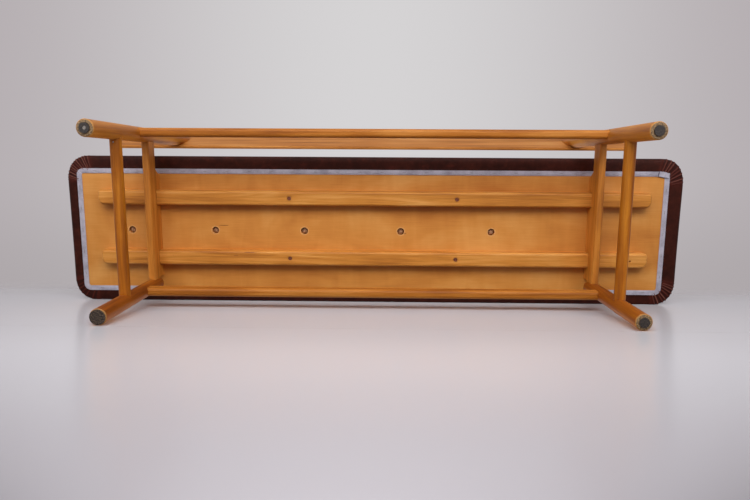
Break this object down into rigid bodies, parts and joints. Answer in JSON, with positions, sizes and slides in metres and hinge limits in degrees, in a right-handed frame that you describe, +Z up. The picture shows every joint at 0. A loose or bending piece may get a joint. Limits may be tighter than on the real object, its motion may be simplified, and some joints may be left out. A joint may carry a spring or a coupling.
{
  "type": "upholstered bench",
  "caption": "Long bench with a leather-covered padded seat on battens, round timber legs joined by crossbars and stretchers, and a slim reclined back rail.",
  "frame": {"origin": "middle of the bench's plan box on the floor, below the seat", "axes": "+X along the bench to the right seen from the front, +Y towards the back rail, +Z up"},
  "size_m": [1.668, 0.4808, 0.6593],
  "materials": {
    "frame_wood": "honey-coloured oiled hardwood, satin",
    "batten_wood": "honey-coloured planed hardwood, satin",
    "dowel_wood": "plain dowel, hidden",
    "board_veneer": "plain-sliced veneer, satin",
    "padding": "upholstery padding, hidden",
    "leather": "dark brown leather, soft sheen",
    "tape": "pale grey woven tape",
    "steel": "dulled steel",
    "glide_rubber": "dark worn glide",
    "felt": "dark felt disc"
  },
  "bodies": {
    "root": {"back_leg_left": "frame_wood", "back_leg_right": "frame_wood", "back_rail": "frame_wood", "back_stretcher": "frame_wood", "batten_back": "batten_wood", "batten_dowels": "dowel_wood", "batten_front": "batten_wood", "batten_screws": "steel", "crossbar_nail": "steel", "edge_tape": "tape", "foot_glide_back_left": "glide_rubber", "foot_glide_back_right": "glide_rubber", "foot_glide_front_left": "glide_rubber", "foot_glide_front_right": "felt", "front_leg_left": "frame_wood", "front_leg_right": "frame_wood", "front_stretcher": "frame_wood", "glide_nails": "steel", "leather_cover": "leather", "lower_crossbar_left": "frame_wood", "lower_crossbar_right": "frame_wood", "rail_screws": "steel", "seat_board": "board_veneer", "seat_padding": "padding", "tape_staples": "steel", "upper_crossbar_left": "frame_wood", "upper_crossbar_right": "frame_wood"}
  },
  "joints": []
}
